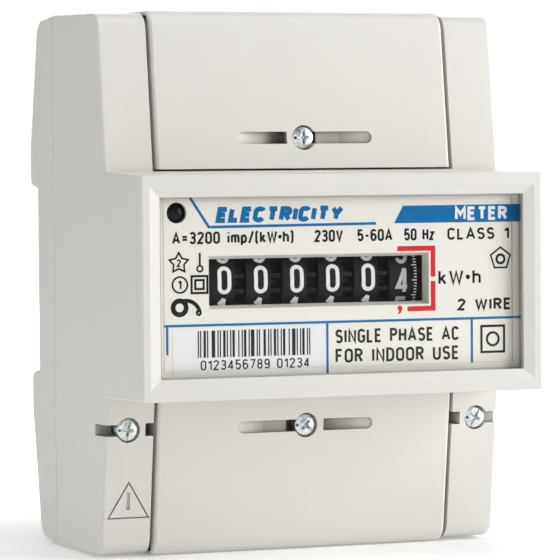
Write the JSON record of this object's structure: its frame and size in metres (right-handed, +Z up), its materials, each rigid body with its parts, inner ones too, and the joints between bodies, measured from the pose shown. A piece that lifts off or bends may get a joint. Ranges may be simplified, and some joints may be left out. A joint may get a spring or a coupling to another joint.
{
  "type": "single-phase electricity meter",
  "caption": "Rail-mounted electricity meter with a raised nose, clear window over a drum counter, screwed terminal covers above and below, and a sprung rail latch.",
  "frame": {"origin": "middle of the lower end, on the surface it stands on: bottom centre of the bounding box", "axes": "X to the right seen from the front, -Y out of the front window, +Z up the height of the case"},
  "size_m": [0.089, 0.0724, 0.1136],
  "materials": {
    "light_grey_plastic": "fine satin",
    "rear_grey_plastic": "fine satin",
    "clear_window": "clear",
    "dial_white": "printed, satin",
    "lamp_dark": "gloss",
    "zinc_plate": "zinc plated",
    "dark_plastic": "satin",
    "steel": "drawn wire",
    "tinned_brass": "satin",
    "board_green": "solder mask",
    "nickel_steel": "satin",
    "capacitor_yellow": "gloss",
    "capacitor_sleeve": "gloss",
    "varistor_blue": "gloss",
    "copper_bar": "satin copper",
    "terminal_block_grey": "moulded",
    "drum_black": "satin",
    "natural_acetal": "satin"
  },
  "bodies": {
    "meter": {"front_case": "light_grey_plastic", "rear_base": "rear_grey_plastic", "window_lens": "clear_window", "dial_plate": "dial_white", "status_lamp": "lamp_dark", "latch_spring": "steel", "counter_frame": "dark_plastic", "counter_shaft": "steel", "pinion_shaft": "steel", "stepper_motor": "steel", "circuit_board": "board_green", "measuring_chip": "dark_plastic", "quartz_crystal": "nickel_steel", "film_capacitor": "capacitor_yellow", "electrolytic_capacitor": "capacitor_sleeve", "varistor": "varistor_blue", "current_shunt": "copper_bar", "neutral_bar": "copper_bar", "upper_terminal_block": "terminal_block_grey", "lower_terminal_block": "terminal_block_grey"},
    "upper_terminal_cover": {"upper_terminal_cover": "light_grey_plastic"},
    "lower_terminal_cover": {"lower_terminal_cover": "light_grey_plastic"},
    "upper_cover_screw": {"upper_cover_screw": "zinc_plate"},
    "lower_cover_screw": {"lower_cover_screw": "zinc_plate"},
    "left_case_screw": {"left_case_screw": "zinc_plate"},
    "right_case_screw": {"right_case_screw": "zinc_plate"},
    "rail_latch": {"rail_latch": "dark_plastic"},
    "motor_pinion": {"motor_pinion": "tinned_brass"},
    "drum_ten_thousands": {"drum_ten_thousands": "drum_black"},
    "drum_thousands": {"drum_thousands": "drum_black"},
    "drum_hundreds": {"drum_hundreds": "drum_black"},
    "drum_tens": {"drum_tens": "drum_black"},
    "drum_units": {"drum_units": "drum_black"},
    "drum_tenths": {"drum_tenths": "drum_black"},
    "pinion_ten_thousands": {"pinion_ten_thousands": "natural_acetal"},
    "pinion_thousands": {"pinion_thousands": "natural_acetal"},
    "pinion_hundreds": {"pinion_hundreds": "natural_acetal"},
    "pinion_tens": {"pinion_tens": "natural_acetal"},
    "pinion_units": {"pinion_units": "natural_acetal"},
    "line_in_clamp": {"line_in_clamp": "nickel_steel"},
    "line_in_screw": {"line_in_screw": "nickel_steel"},
    "neutral_in_clamp": {"neutral_in_clamp": "nickel_steel"},
    "neutral_in_screw": {"neutral_in_screw": "nickel_steel"},
    "line_out_clamp": {"line_out_clamp": "nickel_steel"},
    "line_out_screw": {"line_out_screw": "nickel_steel"},
    "neutral_out_clamp": {"neutral_out_clamp": "nickel_steel"},
    "neutral_out_screw": {"neutral_out_screw": "nickel_steel"},
    "pulse_minus_clamp": {"pulse_minus_clamp": "nickel_steel"},
    "pulse_minus_screw": {"pulse_minus_screw": "nickel_steel"},
    "pulse_plus_clamp": {"pulse_plus_clamp": "nickel_steel"},
    "pulse_plus_screw": {"pulse_plus_screw": "nickel_steel"}
  },
  "joints": [
    {"name": "upper_cover_pull", "type": "slide", "parent": "meter", "child": "upper_terminal_cover", "axis": [0, -1, 0], "range_m": [0, 0.05]},
    {"name": "upper_cover_screw_turn", "type": "hinge", "parent": "upper_terminal_cover", "child": "upper_cover_screw", "pos_m": [0, -0.01105, 0.087], "axis": [0, 1, 0], "range_deg": [-1440, 0]},
    {"name": "lower_cover_pull", "type": "slide", "parent": "meter", "child": "lower_terminal_cover", "axis": [0, -1, 0], "range_m": [0, 0.05]},
    {"name": "lower_cover_screw_turn", "type": "hinge", "parent": "lower_terminal_cover", "child": "lower_cover_screw", "pos_m": [0, -0.01105, 0.0266], "axis": [0, 1, 0], "range_deg": [-1440, 0]},
    {"name": "left_case_screw_turn", "type": "hinge", "parent": "meter", "child": "left_case_screw", "pos_m": [-0.0394, -0.01115, 0.02685], "axis": [0, 1, 0], "range_deg": [-1440, 0]},
    {"name": "right_case_screw_turn", "type": "hinge", "parent": "meter", "child": "right_case_screw", "pos_m": [0.0394, -0.01115, 0.02685], "axis": [0, 1, 0], "range_deg": [-1440, 0]},
    {"name": "latch_slide", "type": "slide", "parent": "meter", "child": "rail_latch", "axis": [0, 0, -1], "range_m": [0, 0.0035], "stiffness_N_per_m": 1200, "springref_m": -0.002, "deforming": ["latch_spring"]},
    {"name": "drum_tenths_turn", "type": "hinge", "parent": "meter", "child": "drum_tenths", "pos_m": [0.01595, -0.01885, 0.0576], "axis": [-1, 0, 0], "continuous": true},
    {"name": "drum_units_turn", "type": "hinge", "parent": "meter", "child": "drum_units", "pos_m": [0.008, -0.01885, 0.0576], "axis": [-1, 0, 0], "continuous": true},
    {"name": "pinion_units_turn", "type": "hinge", "parent": "meter", "child": "pinion_units", "pos_m": [0.0118, -0.01441, 0.0454], "axis": [-1, 0, 0], "continuous": true},
    {"name": "drum_tens_turn", "type": "hinge", "parent": "meter", "child": "drum_tens", "pos_m": [0.00005, -0.01885, 0.0576], "axis": [-1, 0, 0], "continuous": true},
    {"name": "pinion_tens_turn", "type": "hinge", "parent": "meter", "child": "pinion_tens", "pos_m": [0.00385, -0.01441, 0.0454], "axis": [-1, 0, 0], "continuous": true},
    {"name": "drum_hundreds_turn", "type": "hinge", "parent": "meter", "child": "drum_hundreds", "pos_m": [-0.0079, -0.01885, 0.0576], "axis": [-1, 0, 0], "continuous": true},
    {"name": "pinion_hundreds_turn", "type": "hinge", "parent": "meter", "child": "pinion_hundreds", "pos_m": [-0.0041, -0.01441, 0.0454], "axis": [-1, 0, 0], "continuous": true},
    {"name": "drum_thousands_turn", "type": "hinge", "parent": "meter", "child": "drum_thousands", "pos_m": [-0.01585, -0.01885, 0.0576], "axis": [-1, 0, 0], "continuous": true},
    {"name": "pinion_thousands_turn", "type": "hinge", "parent": "meter", "child": "pinion_thousands", "pos_m": [-0.01205, -0.01441, 0.0454], "axis": [-1, 0, 0], "continuous": true},
    {"name": "drum_ten_thousands_turn", "type": "hinge", "parent": "meter", "child": "drum_ten_thousands", "pos_m": [-0.0238, -0.01885, 0.0576], "axis": [-1, 0, 0], "continuous": true},
    {"name": "pinion_ten_thousands_turn", "type": "hinge", "parent": "meter", "child": "pinion_ten_thousands", "pos_m": [-0.02, -0.01441, 0.0454], "axis": [-1, 0, 0], "continuous": true},
    {"name": "motor_pinion_turn", "type": "hinge", "parent": "meter", "child": "motor_pinion", "pos_m": [0.01975, -0.01441, 0.0698], "axis": [-1, 0, 0], "continuous": true},
    {"name": "line_in_screw_turn", "type": "hinge", "parent": "meter", "child": "line_in_screw", "pos_m": [-0.018, -0.00505, 0.0988], "axis": [0, 1, 0], "range_deg": [0, 2702]},
    {"name": "line_in_clamp_rise", "type": "slide", "parent": "meter", "child": "line_in_clamp", "axis": [0, -1, 0], "range_m": [0, 0.006]},
    {"name": "neutral_in_screw_turn", "type": "hinge", "parent": "meter", "child": "neutral_in_screw", "pos_m": [0.018, -0.00505, 0.0988], "axis": [0, 1, 0], "range_deg": [0, 2702]},
    {"name": "neutral_in_clamp_rise", "type": "slide", "parent": "meter", "child": "neutral_in_clamp", "axis": [0, -1, 0], "range_m": [0, 0.006]},
    {"name": "line_out_screw_turn", "type": "hinge", "parent": "meter", "child": "line_out_screw", "pos_m": [-0.018, -0.00505, 0.0148], "axis": [0, 1, 0], "range_deg": [0, 2702]},
    {"name": "line_out_clamp_rise", "type": "slide", "parent": "meter", "child": "line_out_clamp", "axis": [0, -1, 0], "range_m": [0, 0.006]},
    {"name": "neutral_out_screw_turn", "type": "hinge", "parent": "meter", "child": "neutral_out_screw", "pos_m": [0.018, -0.00505, 0.0148], "axis": [0, 1, 0], "range_deg": [0, 2702]},
    {"name": "neutral_out_clamp_rise", "type": "slide", "parent": "meter", "child": "neutral_out_clamp", "axis": [0, -1, 0], "range_m": [0, 0.006]},
    {"name": "pulse_minus_screw_turn", "type": "hinge", "parent": "meter", "child": "pulse_minus_screw", "pos_m": [-0.0046, 0.00175, 0.0123], "axis": [0, 1, 0], "range_deg": [0, 1802]},
    {"name": "pulse_minus_clamp_rise", "type": "slide", "parent": "meter", "child": "pulse_minus_clamp", "axis": [0, -1, 0], "range_m": [0, 0.0025]},
    {"name": "pulse_plus_screw_turn", "type": "hinge", "parent": "meter", "child": "pulse_plus_screw", "pos_m": [0.0046, 0.00175, 0.0123], "axis": [0, 1, 0], "range_deg": [0, 1802]},
    {"name": "pulse_plus_clamp_rise", "type": "slide", "parent": "meter", "child": "pulse_plus_clamp", "axis": [0, -1, 0], "range_m": [0, 0.0025]}
  ],
  "couplings": [
    {"joint": "drum_units_turn", "follows": "drum_tenths_turn", "ratio": 0.1},
    {"joint": "pinion_units_turn", "follows": "drum_tenths_turn", "ratio": -0.25},
    {"joint": "drum_tens_turn", "follows": "drum_tenths_turn", "ratio": 0.01},
    {"joint": "pinion_tens_turn", "follows": "drum_tenths_turn", "ratio": -0.025},
    {"joint": "drum_hundreds_turn", "follows": "drum_tenths_turn", "ratio": 0.001},
    {"joint": "pinion_hundreds_turn", "follows": "drum_tenths_turn", "ratio": -0.0025},
    {"joint": "drum_thousands_turn", "follows": "drum_tenths_turn", "ratio": 0.0001},
    {"joint": "pinion_thousands_turn", "follows": "drum_tenths_turn", "ratio": -0.00025},
    {"joint": "drum_ten_thousands_turn", "follows": "drum_tenths_turn", "ratio": 0.00001},
    {"joint": "pinion_ten_thousands_turn", "follows": "drum_tenths_turn", "ratio": -0.000025},
    {"joint": "motor_pinion_turn", "follows": "drum_tenths_turn", "ratio": -2.5},
    {"joint": "line_in_screw_turn", "follows": "line_in_clamp_rise", "rad_per_m": 7854},
    {"joint": "neutral_in_screw_turn", "follows": "neutral_in_clamp_rise", "rad_per_m": 7854},
    {"joint": "line_out_screw_turn", "follows": "line_out_clamp_rise", "rad_per_m": 7854},
    {"joint": "neutral_out_screw_turn", "follows": "neutral_out_clamp_rise", "rad_per_m": 7854},
    {"joint": "pulse_minus_screw_turn", "follows": "pulse_minus_clamp_rise", "rad_per_m": 12566},
    {"joint": "pulse_plus_screw_turn", "follows": "pulse_plus_clamp_rise", "rad_per_m": 12566}
  ]
}
